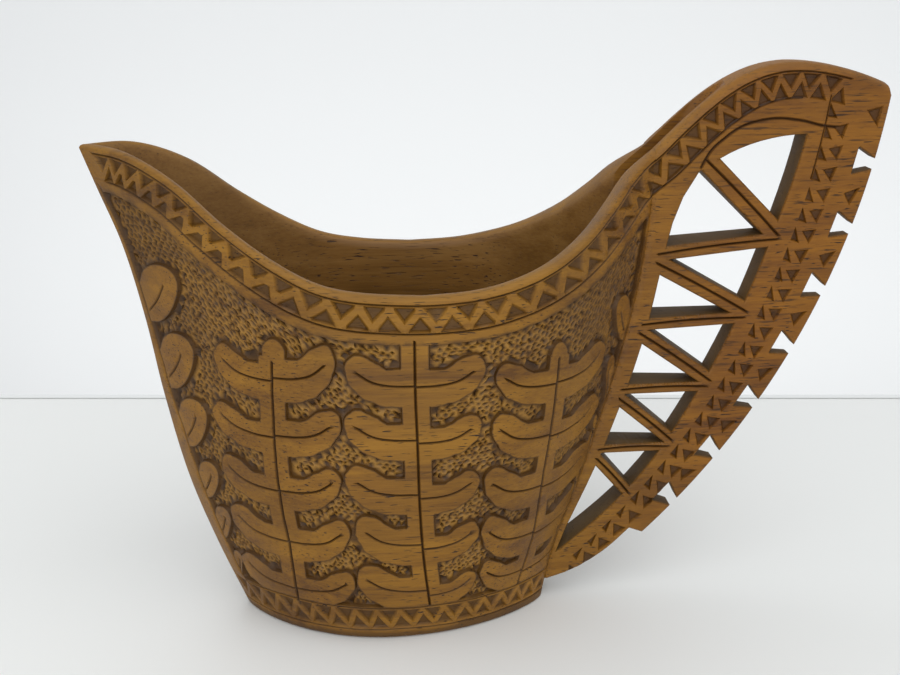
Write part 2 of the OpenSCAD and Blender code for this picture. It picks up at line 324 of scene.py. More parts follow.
# each tree: its stem from the top down, half the stem's width, and its pairs of leaves as
# (left reach, left tip height, right reach, right tip height, keel height)
trees = [
    {"stem": [(-28.6, 77), (-28.9, 66), (-28.8, 50), (-27.8, 36.8), (-26.5, 27), (-25.1, 10)],
     "half": 3.1, "bud": (-28.1, 81.4, 2.6),
     "pairs": [(-42.6, 78.4, -14.0, 80.6, 65.8), (-44.0, 63.1, -13.0, 64.6, 52.0),
               (-42.6, 49.2, -13.4, 49.6, 37.6), (-41.2, 35.6, -11.6, 36.0, 23.2),
               (-39.4, 20.8, -10.6, 21.4, 9.6)]},
    {"stem": [(4.3, 82.0), (4.4, 68), (4.8, 56), (5.2, 41), (6.1, 26), (7.9, 10)],
     "half": 3.25, "bud": None,
     "pairs": [(-11.8, 78.2, 20.8, 77.6, 65.4), (-12.3, 64.8, 20.1, 62.8, 51.8),
               (-12.5, 50.8, 19.8, 48.2, 37.4), (-10.3, 37.4, 20.0, 34.0, 23.3),
               (-10.2, 23.5, 19.6, 19.2, 9.6)]},
    {"stem": [(39.2, 75), (38.3, 61), (37.0, 46.6), (36.0, 36), (34.9, 24), (31.5, 9.6)],
     "half": 2.6, "bud": (39.1, 78.4, 2.1),
     "pairs": [(23.3, 74.8, 52.6, 75.4, 63.2), (22.6, 62.2, 52.0, 60.6, 48.8),
               (20.9, 48.1, 50.4, 46.4, 34.0), (20.5, 34.4, 48.4, 32.6, 19.4),
               (20.6, 21.0, 45.6, 19.0, 9.2)]},
]
# half leaves along the prow and along the stern: (far side, foot, tip)
prowLeaves = [(-50.6, 79.4, 95.2), (-47.9, 62.4, 78.2), (-45.6, 47.4, 61.6),
              (-43.7, 33.6, 45.0), (-41.4, 22.2, 32.6), (-39.4, 11.4, 19.6)]
sternLeaves = [(55.0, 72.6, 85.4), (53.6, 56.0, 69.6), (50.9, 41.0, 53.4), (47.0, 27.6, 38.6),
               (43.0, 15.0, 25.4)]
stripWidth = [(0, 3.8), (40, 3.9), (60, 2.7), (85, 1.3), (125, 1.1)]


def prowLine(z):
    return prowX(z) + through(stripWidth, z)


def creaseLine(z):
    return sternX(z) - carving["creaseGap"]


def leafPair(left, leftTip, right, rightTip, keel, stemAt, stemHalf):
    # boat-shaped leaves: a flat deck at the stem, a rounded tip that turns up, a rib along each
    shape = [(.33, .73), (.42, .79), (.56, .90), (.72, .99), (.86, 1.0), (.97, .88), (1.0, .72), (.94, .47),
             (.76, .23), (.48, .06), (.2, 0)]
    ribShape = [(0, .39), (.35, .41), (.62, .49), (.83, .66)]
    leaves, ribs = [], []
    for reach, tip, way in ((left, leftTip, -1), (right, rightTip, 1)):
        root = stemAt + way * stemHalf * 0.6
        curve = flowing([(mix(root, reach, a), mix(keel, tip, b)) for a, b in shape])
        sideways = beside(curve, 1.0) - curve
        beat = np.arange(len(curve))[:, None] * .9 + keel
        curve = curve + sideways * (dice.normal(0, .05, (len(curve), 1)) + 0.12 * np.sin(beat))
        leaves.append(np.vstack([[(stemAt, mix(keel, tip, .73))], curve, [(stemAt, keel)]]))
        ribs.append(flowing([(mix(stemAt, reach, a), mix(keel, tip, b)) for a, b in ribShape]))
    return leaves, ribs


def halfLeaf(edgeOf, far, low, tip):
    # a leaf that stands half out from the prow or from the handle
    at = lambda b: edgeOf(mix(low, tip, b))
    shape = [(0, 0), (.35, .06), (.72, .26), (.96, .55), (1.0, .80), (.84, .97), (.55, 1.0), (.25, .88),
             (0, .62)]
    ribShape = [(.25, .12, .22), (.4, .4, .42), (.6, .62, .66)]
    curve = flowing([(mix(at(b), far, a), mix(low, tip, b)) for a, b in shape])
    past = 1.5 if far > at(.3) else -1.5
    root = [(at(b) - past, mix(low, tip, b)) for b in (.62, 0)]
    rib = flowing([(mix(at(p), far, a), mix(low, tip, b)) for p, a, b in ribShape])
    return np.vstack([curve, root]), rib


armStart = np.array([bowlForm["sternReach"], bowlForm["sternHeight"]])
crown = np.array(plateForm["crown"])
corner = np.array(plateForm["corner"])
angle0 = math.radians(plateForm["cornerAngle"])
tipCentre = corner - plateForm["tipRadius"] * np.array([math.cos(angle0), math.sin(angle0)])
armBack = bezier(armStart, armStart + 11, crown - (14, 0), crown, np.linspace(0, 1, 29))
armNose = bezier(crown, crown + (8, 0), corner + (-8, 4.2), corner + (-1.2, 1.2), np.linspace(0, 1, 29))


def crestPath():
    t = np.linspace(0, 1, 200)
    rim = np.column_stack([mix(-bowlForm["prowReach"], bowlForm["sternReach"], t), rimHeight(t)])
    whole = np.vstack([rim[:-1], armBack[:-1], armNose])
    return flowing(evenSteps(whole, 5), 0.6)


crest = crestPath()


def under(gap, x0, x1):
    # a line at one distance under the crest of the rim and the arm
    line = evenSteps(beside(crest, -gap), 0.75)
    return line[(line[:, 0] > x0) & (line[:, 0] < x1)]


def pocket(a, b, c, depth):
    corners = np.array([a, b, c], float)
    return {"corners": corners, "bottom": corners.mean(0), "depth": depth}


def rimZigzag(x0, x1):
    # a raised zigzag ribbon is left between triangular chips above and below it
    c = carving
    top, low = beside(crest, -(c["beadGap"] + 0.35)), beside(crest, -(c["bandGap"] - 0.25))
    run = np.concatenate([[0], np.cumsum(np.linalg.norm(np.diff(crest, axis=0), axis=1))])
    place = np.interp(x0, crest[:, 0], run)
    end = np.interp(x1, crest[:, 0], run)
    spot = lambda at, down: np.array([np.interp(at, run, mix(top, low, down)[:, k]) for k in (0, 1)])
    chips = []
    while place < end:
        pitch = through(c["zigPitch"], np.interp(place, run, crest[:, 0]))
        pitch *= 1 + dice.uniform(-1, 1) * c["unevenness"]
        slip = dice.uniform(-.4, .4)
        deep = c["pocketDepth"] * dice.uniform(.85, 1.1)
        chips.append(pocket(spot(place + .04 * pitch, 0), spot(place + .96 * pitch, 0),
                            spot(place + .5 * pitch + slip, .68), deep))
        chips.append(pocket(spot(place + .54 * pitch, 1), spot(place + 1.46 * pitch, 1),
                            spot(place + pitch + slip, .32), deep))
        place += pitch
    return chips


rimChips = rimZigzag(-69, 108)

# the skin of the bowl unrolled to a flat sheet, so that dents and triangles keep their real size
sheet = {"top": 0.992, "height": 105.0}
sheetT = (1 - np.cos(np.linspace(0, math.pi, 500))) / 2
midLine = outerSkin(sheetT, np.full(500, 0.55))[:, :2]
sheetA = np.concatenate([[0], np.cumsum(np.linalg.norm(np.diff(midLine, axis=0), axis=1))])
sheetLength = sheetA[-1]


def toSheet(spots):
    x, z = np.asarray(spots, float).T
    f = bowlForm
    t = np.clip(placeOf(x), 0, 1)
    for _ in range(30):
        s = z / rimHeight(np.clip(t, 0, 1))
        x0, x1 = prowX(f["prowHeight"] * s), sternX(f["sternHeight"] * s)
        t = mix(t, (x - x0) / (x1 - x0), 0.7)
    a = np.interp(t, sheetT, sheetA)
    a = np.where(t > 1, sheetLength + (t - 1) * 90, np.where(t < 0, t * 90, a))
    return np.column_stack([a, s / sheet["top"] * sheet["height"]])


def fromSheet(flat):
    t = np.interp(flat[:, 0], sheetA, sheetT)
    return t, np.clip(flat[:, 1] / sheet["height"] * sheet["top"], 0, 1)


def footZigzag():
    line = flowing([(-39, 10), (-27, 10.6), (-15, 10.6), (0, 10.1), (13, 9.8), (27, 9.4), (41, 9.0)])
    flatLine = toSheet(line)
    chips, at, deep = [], 1.5, carving["footPocketDepth"]

    def spot(a, down):
        t = np.interp(a, sheetA, sheetT)
        top = np.interp(a, flatLine[:, 0], line[:, 1]) - 0.4
        z = mix(top, 3.5, down)
        s = z / float(rimHeight(np.array([t]))[0])
        x = mix(prowX(bowlForm["prowHeight"] * s), sternX(bowlForm["sternHeight"] * s), t)
        return np.array([float(x), z])
    while at < sheetLength - 4:
        step = carving["footPitch"] * (1 + dice.uniform(-1, 1) * carving["unevenness"])
        chips.append(pocket(spot(at + .04 * step, 0), spot(at + .96 * step, 0),
                            spot(at + .5 * step, .74), deep))
        chips.append(pocket(spot(at + .54 * step, 1), spot(at + 1.46 * step, 1), spot(at + step, .26), deep))
        at += step
    return line, chips


def groundOutline(footLine):
    # the sunk ground lies between the border under the rim, the line over the foot, prow and handle
    top = under(carving["groundGap"], -72, 64)
    top = top[(top[:, 0] > prowLine(top[:, 1]) + 0.2) & (top[:, 0] < creaseLine(top[:, 1]))]
    prowZ, sternZ = np.arange(10.8, top[0, 1], 1.2), np.arange(10.4, top[-1, 1], 1.2)
    low = footLine + (0, 0.5)
    low = low[(low[:, 0] > prowLine(prowZ[0]) + .4) & (low[:, 0] < sternX(sternZ[0]) - 1.2)]
    outline = np.vstack([low, np.column_stack([creaseLine(sternZ), sternZ]), top[::-1],
                         np.column_stack([prowLine(prowZ), prowZ])[::-1]])
    return evenSteps(outline, 0.75, closed=True)


def bowlCarving():
    c = carving
    footLine, footChips = footZigzag()
    baseLine = flowing([(-39, 2.9), (-20, 2.9), (0, 3.0), (20, 2.8), (41, 2.8)])
    grooves = [(under(c["beadGap"], -70, 75), *c["rimLine"]),
               (under(c["bandGap"], -66.5, 70), *c["bandLine"]),
               (footLine, *c["footLine"]), (baseLine, *c["bandLine"])]
    leaves, stems = [], []
    for tree in trees:
        stem = flowing(tree["stem"])
        stems.append(np.vstack([beside(stem, -tree["half"]), beside(stem, tree["half"])[::-1]]))
        grooves.append((stem[(stem[:, 1] > 9.2) & (stem[:, 1] < stem[0, 1] - 0.7)], *c["vein"]))
        for left, leftTip, right, rightTip, keel in tree["pairs"]:
            stemAt = float(np.interp(-keel - 5, -stem[:, 1], stem[:, 0]))
            pair, ribs = leafPair(left, leftTip, right, rightTip, keel, stemAt, tree["half"])
            leaves += pair
            grooves += [(rib, *c["leafRib"]) for rib in ribs]
        if tree["bud"]:
            x, z, w = tree["bud"]
            dome = [(-1, -4.6), (-.98, -2.2), (-.4, -.3), (.35, -.2), (.98, -2.2), (1, -4.6)]
            leaves.append(np.vstack([flowing([(x + w * a, z + b) for a, b in dome]), [(x, z - 6)]]))
    for edgeOf, places in ((prowLine, prowLeaves), (creaseLine, sternLeaves)):
        for far, low, tip in places:
            leaf, rib = halfLeaf(edgeOf, far, low, tip)
            leaves.append(leaf)
            grooves.append((rib, *c["halfLeafRib"]))
    prowZ = np.arange(11.2, 113, 1.0)
    grooves.append((np.column_stack([prowLine(prowZ) - 0.15, prowZ]), *c["prowEdgeLine"]))
    onBowl = [chip for chip in rimChips if chip["corners"][:, 0].min() < bowlForm["sternReach"] + 1]
    ground = groundOutline(footLine)
    leaves += stems
    return {"ground": ground, "leaves": leaves, "grooves": grooves, "chips": footChips + onBowl,
            "brink": brinkOf(ground, leaves)}


def brinkOf(ground, leaves):
    # points along the cut that surrounds the leaves and the ground
    parts = [evenSteps(ground, 0.4, closed=True)]
    for k, leaf in enumerate(leaves):
        path = keepCorners(leaf, 0.4, closed=True)
        path = path[inside(path, ground)]
        for m, neighbour in enumerate(leaves):
            if m != k and len(path):
                path = path[~inside(path, neighbour)]
        parts.append(path)
    path = np.vstack(parts)
    tree = KDTree(len(path))
    for n, (x, z) in enumerate(path):
        tree.insert((x, z, 0), n)
    tree.balance()
    return tree


def clearOf(spots, work):
    # how far each spot lies inside the sunk ground and away from its leaves, in mm, up to 3
    clear = np.where(inside(spots, work["ground"]), distance(spots, work["ground"], 3, closed=True), 0)
    for leaf in work["leaves"]:
        clear = np.minimum(clear, distance(spots, leaf, 3, closed=True))
        near = np.nonzero(np.all((spots > leaf.min(0)) & (spots < leaf.max(0)), axis=1))[0]
        clear[near[inside(spots[near], leaf)]] = 0
    return clear


def cutChip(depth, spots, chip):
    # one chip: three sloping walls and a flatter floor
    p = chip["corners"]
    k = np.nonzero(np.all((spots > p.min(0) - .01) & (spots < p.max(0) + .01), axis=1))[0]
    k = k[inside(spots[k], p)]
    if not len(k):
        return
    fall = np.full(len(k), np.inf)
    for a, b in zip(p, np.roll(p, -1, 0)):
        n = np.array([a[1] - b[1], b[0] - a[0]]) / np.linalg.norm(b - a)
        fall = np.minimum(fall, np.abs((spots[k] - a) @ n) / abs((chip["bottom"] - a) @ n))
    steep = mix(np.minimum(fall, 1), np.minimum(fall / carving["pocketWall"], 1), carving["wallShare"])
    depth[k] = np.maximum(depth[k], chip["depth"] * steep)


def relief(spots, work, extra):
    # depth of the carving at each spot in mm, its clearance, and 1 to 0 away from the cut round the leaves
    depth, clear, edge = np.zeros(len(spots)), np.zeros(len(spots)), np.zeros(len(spots))
    if work["ground"] is not None:
        slope = carving["cutSlope"]
        clear = clearOf(spots, work)
        for n, (x, z) in enumerate(spots):
            edge[n] = 1 - work["brink"].find((x, z, 0))[2] / 0.3
        depth = carving["groundDepth"] * np.clip(clear / slope, 0, 1)
        depth += np.where(clear > slope * 1.5, extra, 0)
    for path, half, deep in work["grooves"]:
        off = distance(spots, path, half)
        depth = np.maximum(depth, deep * (1 - off / half))
    for chip in work["chips"]:
        cutChip(depth, spots, chip)
    return depth, clear, np.clip(edge, 0, 1)


def roundOver(d, r):
    return np.where(d < r, r - np.sqrt(np.maximum(r * r - (r - np.minimum(d, r)) ** 2, 0)), 0)


def beadDepth(spots):
    # the rounded crest of the rim, which widens to a bullnose on the arm
    x0, x1 = carving["beadGrows"]
    r = mix(*carving["beadRound"], np.clip((spots[:, 0] - x0) / (x1 - x0), 0, 1))
    return roundOver(distance(spots, crest, 3), r)


def sternCrease(spots):
    # the knife line between the bowl and the handle
    z, deep, half, top, fade = spots[:, 1], 0.5, 0.5, 113, 4
    off = np.abs(spots[:, 0] - sternX(np.clip(z, 0, bowlForm["sternHeight"])))
    return deep * np.clip(1 - off / half, 0, 1) * np.clip((top - z) / fade, 0, 1) * np.clip(z / fade, 0, 1)


def wander(spots, size):
    # the small unevenness that a knife leaves on a broad surface
    x, z = spots[:, 0], spots[:, 1]
    return size * (np.sin(x * .31 + np.sin(z * .23) * 1.7) * np.sin(z * .37 + np.sin(x * .19) * 1.3)
                   + .5 * np.sin(x * .83 + z * .61 + 1.1) * np.sin(z * .71 - x * .27))


def emptyNet():
    return {"points": [], "edges": [], "extras": []}


def lay(net, spots, joined=True, closed=False, extra=0.0):
    # adds spots to the net of the triangulation, joined to a line or left loose
    n = sum(len(p) for p in net["points"])
    net["points"].append(spots)
    net["extras"].append(np.zeros(len(spots)) + extra)
    if joined:
        net["edges"].extend((n + k, n + k + 1) for k in range(len(spots) - 1))
    if closed:
        net["edges"].append((n + len(spots) - 1, n))


def triangulate(net):
    flat, extra = [Vector(p) for p in np.vstack(net["points"])], np.concatenate(net["extras"])
    verts, _, faces, source, _, _ = delaunay_2d_cdt(flat, net["edges"], [], 0, 1e-5, True)
    kept = np.array([extra[s[0]] if s else 0.0 for s in source])
    return np.array([(v.x, v.y) for v in verts]), kept, np.array(faces)


def workLines(work, toFlat):
    # every crease of the carving
    net = emptyNet()
    if work["ground"] is not None:
        lay(net, toFlat(work["ground"]), closed=True)
        lay(net, toFlat(outside(work["ground"], -carving["cutSlope"])), closed=True)
        for leaf in work["leaves"]:
            leaf = keepCorners(leaf, 0.8, closed=True)
            lay(net, toFlat(leaf), closed=True)
            lay(net, toFlat(outside(leaf, carving["cutSlope"])), closed=True)
            lay(net, toFlat(evenSteps(outside(leaf, -0.32), 0.9, closed=True)), closed=True)
    for path, half, _ in work["grooves"]:
        for gap in (-half, 0, half):
            lay(net, toFlat(beside(path, gap)))
    for chip in work["chips"]:
        lay(net, toFlat(keepCorners(chip["corners"], 1.4, closed=True)), closed=True)
        lay(net, toFlat(mix(chip["corners"], chip["bottom"], carving["pocketWall"])), closed=True)
        lay(net, toFlat(chip["bottom"][None, :]))
    return net


def outOfChips(spots, work):
    inChip = np.zeros(len(spots), bool)
    for chip in work["chips"]:
        inChip |= inside(spots, chip["corners"])
    return ~inChip


def crowded(flat, fixed, gap):
    # which spots lie too close to a fixed point
    lo = np.minimum(flat.min(0), fixed.min(0)) - 3 * gap
    cell = lambda p: ((p - lo) / gap).astype(int)
    size = np.maximum(cell(flat).max(0), cell(fixed).max(0)) + 3
    full = np.zeros(size, bool)
    i, j = cell(fixed).T
    for di in (-1, 0, 1):
        for dj in (-1, 0, 1):
            full[i + di, j + dj] = True
    i, j = cell(flat).T
    return full[i, j]


def hexGrid(x0, x1, z0, z1, stepX, stepZ, jitter):
    rows = []
    for n, z in enumerate(np.arange(z0, z1, stepZ)):
        x = np.arange(x0 + (n % 2) * stepX / 2, x1, stepX)
        rows.append(np.column_stack([x, np.full(len(x), z)]))
    grid = np.vstack(rows)
    return grid + dice.uniform(-jitter, jitter, grid.shape) * (stepX, stepZ)


def makeMesh(name, verts, faces, slots, looks, marks):
    mesh = bpy.data.meshes.new(name)
    corners = [tuple(v) for v in np.asarray(verts) * mm]
    mesh.from_pydata(corners, [], [tuple(int(i) for i in f) for f in faces])
    mesh.validate()
    for look in looks:
        mesh.materials.append(look)
    mesh.polygons.foreach_set("material_index", np.asarray(slots, dtype=np.int32))
    for key, values in marks.items():
        layer = mesh.attributes.new(key, "FLOAT", "POINT")
        layer.data.foreach_set("value", np.asarray(values, dtype=np.float32))
    piece = bpy.data.objects.new(name, mesh)
    bpy.context.scene.collection.objects.link(piece)
    return piece


def tidyMesh(piece, angle):
    form = bmesh.new()
    form.from_mesh(piece.data)
    bmesh.ops.delete(form, geom=[v for v in form.verts if not v.link_faces], context="VERTS")
    bmesh.ops.recalc_face_normals(form, faces=form.faces)
    openEdges = sum(1 for e in form.edges if not e.is_manifold)
    form.to_mesh(piece.data)
    form.free()
    piece.data.shade_smooth()
    piece.data.set_sharp_from_angle(angle=math.radians(angle))
    print("  " + piece.name, len(piece.data.polygons), "faces,", openEdges, "open edges")


def linear(hexValue):
    parts = [int(hexValue[i:i + 2], 16) / 255 for i in (1, 3, 5)]
    return tuple(p / 12.92 if p <= 0.04045 else ((p + 0.055) / 1.055) ** 2.4 for p in parts) + (1.0,)


def addNode(tree, kind, settings=None, links=None):
    # a name sets an option or, if there is none, an input; "stops" are the steps of a colour ramp
    node = tree.nodes.new(kind)
    for key, value in (settings or {}).items():
        if key == "stops":
            steps = node.color_ramp.elements
            while len(steps) < len(value):
                steps.new(0.5)
            for step, (place, tone) in zip(steps, value):
                step.position = place
                step.color = linear(tone) if isinstance(tone, str) else (tone, tone, tone, 1)
        elif isinstance(key, str) and hasattr(node, key):
            setattr(node, key, value)
        else:
            node.inputs[key].default_value = value
    for key, socket in (links or {}).items():
        tree.links.new(socket, node.inputs[key])
    return node


# outside and handle: birch, carved, polished with oil and worn by hands; a warm brown satin surface
# with fine dark pores, nearly black cuts painted as shade with some dust and oil in them, paler crests
oiledBirch = {
    "light": "#8f6318", "mid": "#7b5211", "dark": "#5c390a",
    "recess": "#352009", "pore": "#22130a", "worn": "#9c7434",
    "roughness": 0.42, "fibre": 1.0,
}
# the hollow: birch, scraped smooth and rubbed by use; a greyer and plainer brown with a soft sheen, its
# greyness partly a painted reflection
hollowBirch = {
    "light": "#88622e", "mid": "#795320", "dark": "#614116",
    "recess": "#5a3d1a", "pore": "#3a2410", "worn": "#9a7440",
    "roughness": 0.38, "fibre": 0.5,
}
# cut faces of the openings: birch, left from the knife and never polished; a dull, dusty grey-brown
knifedBirch = {
    "light": "#745c3a", "mid": "#604a2b", "dark": "#443217",
    "recess": "#4c3819", "pore": "#33240f", "worn": "#7a6038",
    "roughness": 0.62, "fibre": 0.8,
}
# the size of each figure in the wood, in mm along the grain, across it and up, and its noise
grain = {
    "figure": ((71.4, 8.33, 6.67), {"Detail": 3.0, "Roughness": 0.55, "Distortion": 0.6}),
    "fibre": ((16.7, 0.667, 0.5), {"Detail": 4.0, "Roughness": 0.6}),
    "patch": ((26.3, 26.3, 26.3), {"Detail": 3.0}),
    "pores": ((4.17, 0.435, 0.345), {"Detail": 1.0}),       # really 0.1 mm wide, drawn coarser to show
    "streaks": ((13.3, 1.11, 0.667), {"Detail": 2.0}),      # dark streaks in the wood of the handle
}
redTint = (0.92, 0.77, 0.40, 1)     # the wood is redder from 45 mm on, towards the handle
redFrom, redTo = 0.045, 0.085


def woodLook(name, w):
    look = bpy.data.materials.new(name)
    look.use_nodes = True
    tree = look.node_tree
    tree.nodes.clear()
    place = addNode(tree, "ShaderNodeTexCoord").outputs["Object"]
    noise = {}
    for part, (size, settings) in grain.items():
        perMetre = tuple(1 / (v * mm) for v in size)
        spread = addNode(tree, "ShaderNodeMapping", {"Scale": perMetre}, {"Vector": place}).outputs["Vector"]
        noise[part] = addNode(tree, "ShaderNodeTexNoise", {"Scale": 1.0, **settings},
                              {"Vector": spread}).outputs["Fac"]
    blend = addNode(tree, "ShaderNodeMath", {"operation": "MULTIPLY_ADD", 1: 0.55},
                    {0: noise["fibre"], 2: noise["figure"]}).outputs[0]
    along = addNode(tree, "ShaderNodeSeparateXYZ", links={0: place}).outputs["X"]
    red = addNode(tree, "ShaderNodeMapRange", {1: redFrom, 2: redTo}, {0: along}).outputs[0]
    carved = addNode(tree, "ShaderNodeAttribute", {"attribute_name": "carved"}).outputs["Fac"]
    worn = addNode(tree, "ShaderNodeAttribute", {"attribute_name": "worn"}).outputs["Fac"]
    step = {}
    for part, source, stops in (
            ("wood", blend, [(0.52, w["dark"]), (0.74, w["mid"]), (0.98, w["light"])]),
            ("tone", noise["patch"], [(0.3, 0.80), (0.7, 1.0)]),
            ("pores", noise["pores"], [(0.655, 0.0), (0.70, 1.0)]),
            ("poreShare", noise["patch"], [(0.40, 0.3), (0.58, 1.0)]),
            ("streaks", noise["streaks"], [(0.60, 0.0), (0.72, 0.8)]),
            # painted shade in the cuts, partly oil and dust, taken from the carved mark
            ("dirtAndShade", carved, [(0.03, 0.0), (0.45, 0.65), (0.9, 1.0)])):
        step[part] = addNode(tree, "ShaderNodeValToRGB", {"stops": stops}, {"Fac": source}).outputs["Color"]
    share = {}
    for part, one, other in (("pores", step["pores"], step["poreShare"]), ("streaks", step["streaks"], red),
                             ("worn", worn, step["tone"])):
        share[part] = addNode(tree, "ShaderNodeMath", {"operation": "MULTIPLY"},
                              {0: one, 1: other}).outputs[0]
    colour = addNode(tree, "ShaderNodeMix", {"data_type": "RGBA", "blend_type": "MULTIPLY", 0: 1.0},
                     {6: step["wood"], 7: step["tone"]}).outputs[2]
    # over the wood: its pores and streaks, then painted shade in the carving, partly oil and dust, then wear
    for mask, tint in ((share["pores"], "pore"), (share["streaks"], "pore"), (step["dirtAndShade"], "recess"),
                       (share["worn"], "worn")):
        colour = addNode(tree, "ShaderNodeMix", {"data_type": "RGBA", 7: linear(w[tint])},
                         {0: mask, 6: colour}).outputs[2]
    colour = addNode(tree, "ShaderNodeMix", {"data_type": "RGBA", "blend_type": "MULTIPLY", 7: redTint},
                     {0: red, 6: colour}).outputs[2]
    rough = addNode(tree, "ShaderNodeMapRange", {3: w["roughness"] - 0.06, 4: w["roughness"] + 0.16},
                    {0: blend}).outputs[0]
    fibres = addNode(tree, "ShaderNodeBump", {"Strength": 0.35 * w["fibre"], "Distance": 0.2 * mm},
                     {"Height": noise["fibre"]}).outputs[0]
    surface = addNode(tree, "ShaderNodeBump", {"Strength": 0.5, "Distance": 0.3 * mm, "invert": True},
                      {"Height": share["pores"], "Normal": fibres}).outputs[0]
    # oil in wood: IOR 1.5, and less gleam than a varnish
    shader = addNode(tree, "ShaderNodeBsdfPrincipled", {"IOR": 1.5, "Specular IOR Level": 0.32},
                     {"Base Color": colour, "Roughness": rough, "Normal": surface})
    addNode(tree, "ShaderNodeOutputMaterial", links={"Surface": shader.outputs[0]})
    return look


polished = woodLook("oiled_birch_polished", oiledBirch)
hollowed = woodLook("birch_hollow_scraped", hollowBirch)
knifed = woodLook("birch_knife_cut", knifedBirch)

# the cove that leads from the hollow up on to the arm, in mm and degrees
coveCut = {"radius": 3.4, "lean": 58.5, "down": 48, "up": 30, "wallHeight": 22, "run": 0.55}


def coveCutter():
    c = coveCut
    end = bezier(armStart, armStart + 11, crown - (14, 0), crown, [c["run"]])[0]
    lean = math.radians(c["lean"])
    along, up = np.array([math.cos(lean), 0, math.sin(lean)]), np.array([-math.sin(lean), 0, math.cos(lean)])
    r, top = c["radius"], c["wallHeight"]
    profile = [(r * math.cos(v), r * math.sin(v)) for v in np.linspace(math.pi, 2 * math.pi, 33)]
    profile += [(r, top), (-r, top)]
    base = np.array([end[0], 0, end[1]]) + up * r
    rings = [[base + along * v + np.array((0, y, 0)) + up * z for y, z in profile]
             for v in (-c["down"], c["up"])]
    n = len(profile)
    faces = [(k, (k + 1) % n, n + (k + 1) % n, n + k) for k in range(n)]
    faces += [tuple(range(n - 1, -1, -1)), tuple(range(n, 2 * n))]
    piece = makeMesh("cove_cutter", np.vstack(rings), faces, [0] * len(faces), [], {})
    tidyMesh(piece, 30)
    return piece


def cutWith(piece, cutter):
    cut = piece.modifiers.new("cove", "BOOLEAN")
    cut.object = cutter
    cut.operation = "DIFFERENCE"
    cut.solver = "MANIFOLD"
    fresh = bpy.data.meshes.new_from_object(piece.evaluated_get(bpy.context.evaluated_depsgraph_get()))
    piece.modifiers.clear()
    old, piece.data = piece.data, fresh
    bpy.data.meshes.remove(old)


def seatOf(flat):
    # where spots of the sheet are seen from the side
    return outerSkin(*fromSheet(flat))[:, [0, 2]]


def stipple(work):
    # dents of the punch in rows, and the wood that it pushed up between them
    pits = hexGrid(0, sheetLength, 0, sheet["height"], *carving["pitStep"], 0.22)
    pits = pits[clearOf(seatOf(pits), work) > 0.55]
    net = emptyNet()
    lay(net, pits, joined=False)
    spots, _, faces = triangulate(net)
    corners = spots[faces]
    ridges = corners.mean(1)[np.ptp(corners[:, :, 0], axis=1) < 3.8]
    ridges = ridges[clearOf(seatOf(ridges), work) > 0.42]
    pitDeep = carving["pitDepth"] * dice.uniform(.55, 1.25, len(pits))
    ridgeDeep = -carving["ridgeHeight"] * dice.uniform(0, 1.2, len(ridges))
    return (pits, pitDeep), (ridges, ridgeDeep)


def bowlNet(work):
    height, length = sheet["height"], sheetLength
    net = workLines(work, toSheet)
    rimA = np.interp((1 - np.cos(np.linspace(0, math.pi, 181))) / 2, sheetT, sheetA)
    rimA = np.concatenate([[0], rimA[(rimA > 0.35) & (rimA < length - 0.35)], [length]])
    upB = np.linspace(0, height, 150)
    for b in (0, 0.35, 0.8, height):
        lay(net, np.column_stack([rimA, np.full(len(rimA), b)]))
    for a in (0, length):
        lay(net, np.column_stack([np.full(len(upB), a), upB]))
    for gap in (0.55, 0.9, 1.4):
        lay(net, toSheet(under(gap, -71.5, 63)))
    fixed = np.vstack(net["points"])
    for spots, deep in stipple(work):
        keep = ~crowded(spots, fixed, 0.3)
        lay(net, spots[keep], joined=False, extra=deep[keep])
    fill = hexGrid(0.5, length - 0.3, 0.6, height - 0.3, 1.25, 1.05, 0.12)
    fill = fill[~crowded(fill, fixed, 0.42)]
    seat = seatOf(fill)
    lay(net, fill[(clearOf(seat, work) < 0.4) & outOfChips(seat, work)], joined=False)
    return net


def grimeAndShadeOf(skin, work, depth, clear, extra, leafEdge, endShade):
    # painted shade, with some real oil and dust: darker in the ground, in lines and chips, round the leaves
    # and at the foot
    cut = np.clip(depth - relief(skin[:, [0, 2]], {**work, "grooves": [], "chips": []}, 0.0)[0], 0, 1)
    edgeCut = (clear > 0.02) & (clear < 0.45)
    # painted shade: the ground's pits darker and its ridges paler, and a darker ring round the leaves
    grimeAndShade = np.where(clear > 0, 0.14 + 0.22 * endShade + 2.0 * np.maximum(extra, -0.1) + 0.35 * edgeCut, 0)
    # painted shade along the foot, just over the table
    foot = (skin[:, 2] < 2.5) & (skin[:, 2] > 0.2)
    # painted shade: the walls of lines and chips darkest, their floors less dark
    for part in (np.where(cut > 0.62, 0.5, cut * 1.7), 0.6 * leafEdge, 0.4 * foot):
        grimeAndShade = np.maximum(grimeAndShade, part)
    return np.clip(grimeAndShade, 0, 1)


def border(flat, axis, value):
    k = np.nonzero(np.abs(flat[:, axis] - value) < 2e-4)[0]
    return k[np.argsort(flat[k, 1 - axis])]


def crestRows(edge, t):
    # the rounded crest between the outer skin and the hollow
    hollow = innerSkin(t, np.full(len(t), 1.0))
    share = np.clip((1 - t) / 0.03, 0, 1)
    rows = []
    for f, rise in ((.10, .62), (.26, .90), (.48, 1.0), (.70, .93), (.88, .66)):
        row = mix(edge, hollow - (0, 0, 1.0), f)
        # at the handle the crest runs on level with the arm before it turns inwards
        row[:, 0] = mix(edge[:, 0], hollow[:, 0], mix(max(f - 0.48, 0) / 0.52, f, share))
        row[:, 2] = mix(row[:, 2], rimHeight(placeOf(row[:, 0])) - 0.02, rise)
        rows.append(row)
    return rows


hollowLevels = [.988, .97, *np.arange(.94, .89, -.04), *np.arange(.85, .59, -.05), *np.arange(.54, .29, -.06),
                .26, .22, .18, .145, .11, .08, .05, .025, .008, 0]
bowlWear = {"rim": 0.2, "stipple": 0.7}


